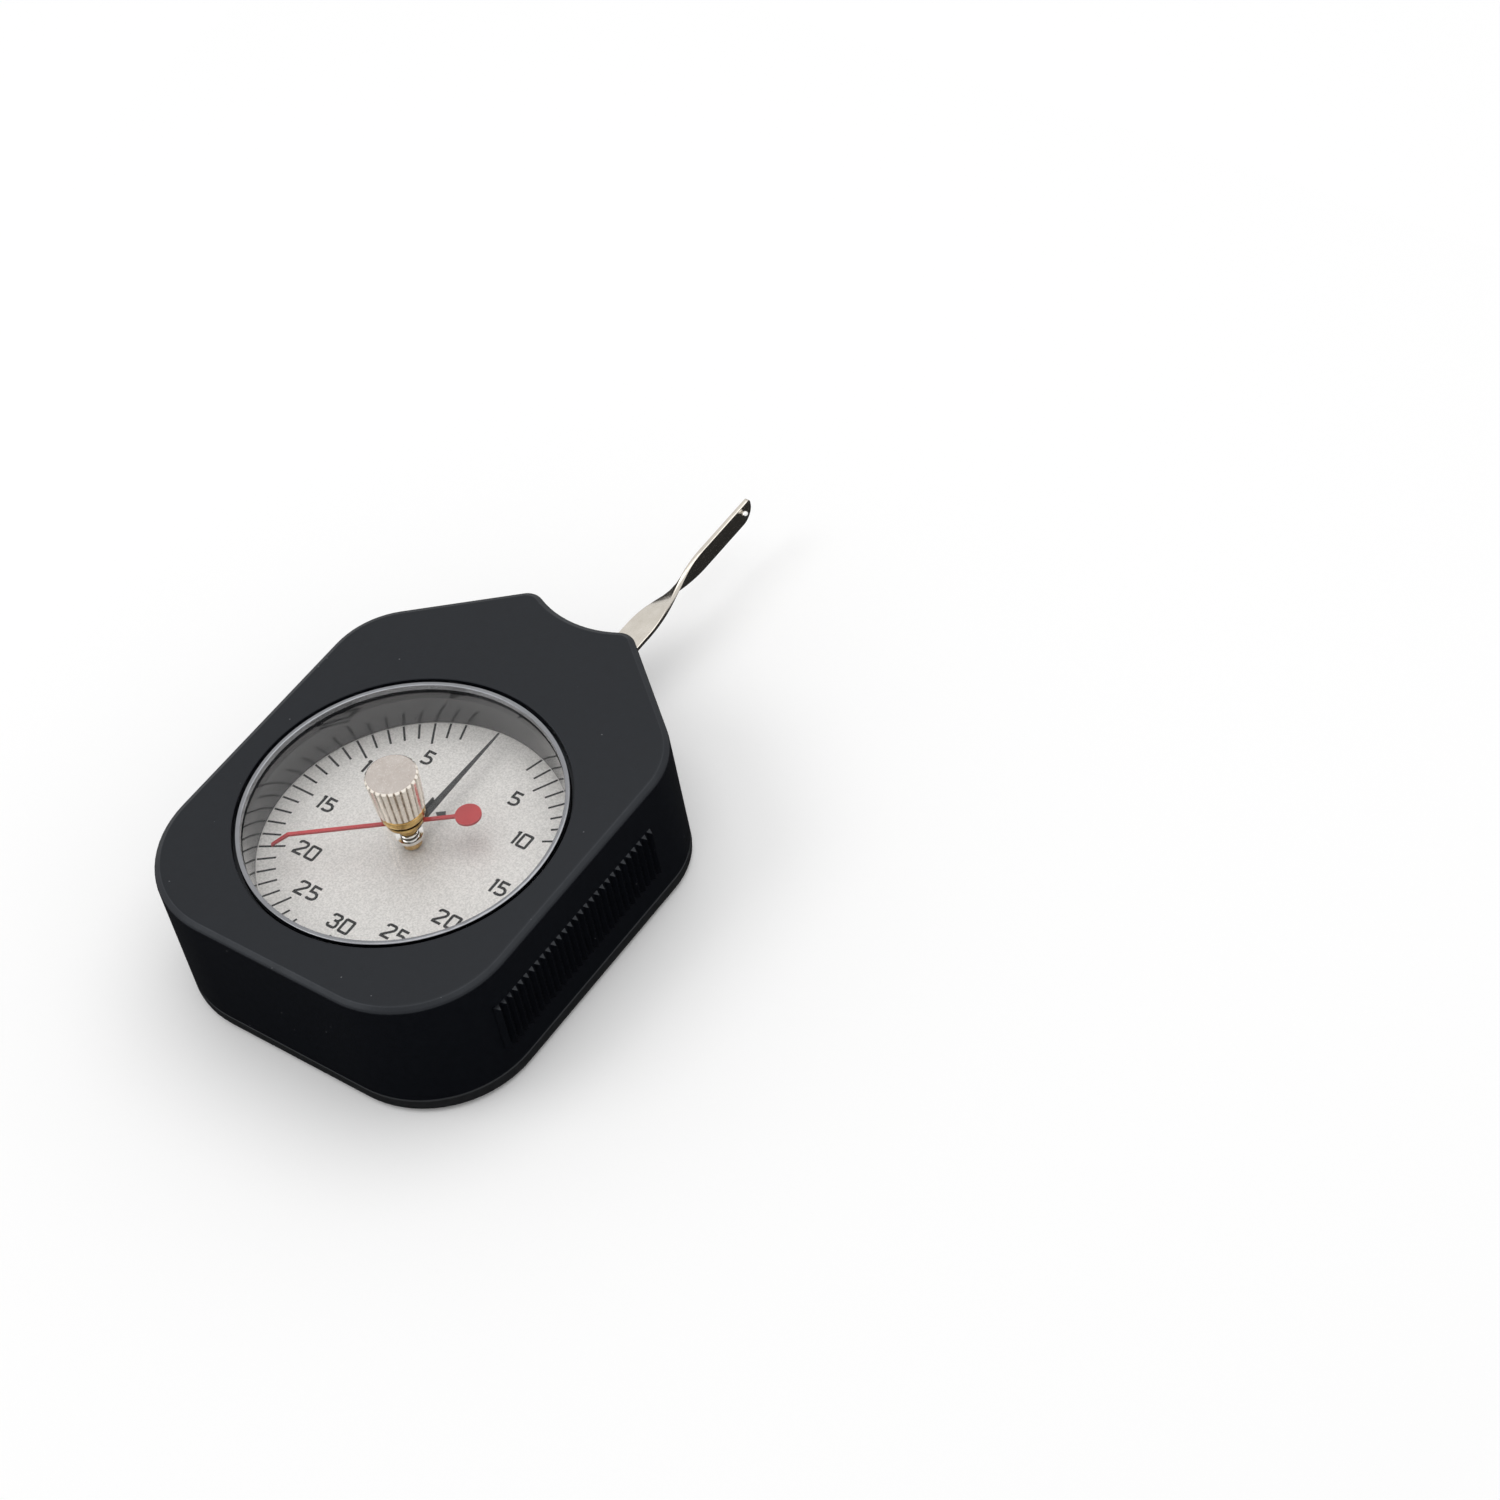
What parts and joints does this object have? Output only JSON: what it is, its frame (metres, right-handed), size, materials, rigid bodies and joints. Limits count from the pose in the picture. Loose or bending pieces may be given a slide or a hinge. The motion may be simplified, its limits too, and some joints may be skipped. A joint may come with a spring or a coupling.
{
  "type": "dial tension gauge",
  "caption": "Hand-held dial tension gauge: dark flat case with a round window, two-way dial, peak pointer with reset knob, ribbed sides and a twisted steel feeler.",
  "frame": {"origin": "on the axis that the feeler swings about, at the flat back face; this is also the centre of the bounding box's base", "axes": "+Z out of the dial, +Y along the feeler towards its tip, +X to the dial's 3 o'clock"},
  "size_m": [0.0636, 0.1208, 0.033],
  "materials": {
    "case_plastic": "fine moulded texture",
    "cover_plastic": "fine moulded texture",
    "screw_steel": "satin",
    "crystal_clear": "polished acrylic",
    "ring_metal": "polished",
    "sleeve_grey": "glossy",
    "brass": "turned",
    "plate_brass": "brushed",
    "shaft_steel": "ground",
    "spring_steel": "blued",
    "feeler_steel": "polished along its length",
    "pin_steel": "polished",
    "pointer_black": "satin black",
    "pointer_red": "satin red",
    "knob_nickel": "nickel plated, knurled",
    "dial_silver": "matt silver",
    "carrier_dark": "dark anodised",
    "zero_plastic": "moulded"
  },
  "bodies": {
    "case": {"front_case": "case_plastic", "rear_cover": "cover_plastic", "cover_screws": "screw_steel", "crystal": "crystal_clear", "crystal_ring": "ring_metal", "inner_sleeve": "sleeve_grey", "crystal_bush": "brass", "bush_nut": "brass", "movement_rear_plate": "plate_brass", "movement_front_plate": "plate_brass", "movement_pillars": "brass", "mounting_sleeves": "brass", "movement_screws": "screw_steel", "mounting_screws": "screw_steel", "lever_bushes": "brass", "arbor_bushes": "brass", "stop_pins": "shaft_steel", "measuring_spring": "spring_steel", "spring_stud": "brass", "hairspring": "spring_steel", "hairspring_stud": "brass"},
    "lever": {"feeler": "feeler_steel", "contact_pin": "pin_steel", "lever_shaft": "shaft_steel", "lever_hub": "brass", "hub_rivets": "shaft_steel", "spring_collet": "brass", "sector_gear": "plate_brass"},
    "pointer": {"pinion_arbor": "shaft_steel", "hairspring_collet": "brass", "pointer_hub": "pin_steel", "main_pointer": "pointer_black"},
    "peak": {"reset_knob": "knob_nickel", "reset_spindle": "shaft_steel", "peak_hub": "brass", "peak_pointer": "pointer_red", "drag_pin": "pointer_black"},
    "dial": {"dial_plate": "dial_silver", "dial_carrier": "carrier_dark", "zero_ring": "zero_plastic", "zero_ring_screws": "screw_steel"}
  },
  "joints": [
    {"name": "feeler_swing", "type": "hinge", "parent": "case", "child": "lever", "pos_m": [0, 0, 0.00975], "axis": [0, 0, 1], "range_deg": [-12.86, 12.86], "stiffness_Nm_per_rad": 0.077},
    {"name": "pointer_spin", "type": "hinge", "parent": "case", "child": "pointer", "pos_m": [0, -0.027, 0.019], "axis": [0, 0, 1], "range_deg": [-181, 181]},
    {"name": "reset_turn", "type": "hinge", "parent": "case", "child": "peak", "pos_m": [0, -0.027, 0.029], "axis": [0, 0, 1], "continuous": true},
    {"name": "zero_adjust", "type": "hinge", "parent": "case", "child": "dial", "pos_m": [0, -0.027, 0.002], "axis": [0, 0, 1], "range_deg": [-15, 15]}
  ],
  "couplings": [
    {"joint": "pointer_spin", "follows": "feeler_swing", "ratio": -14}
  ]
}
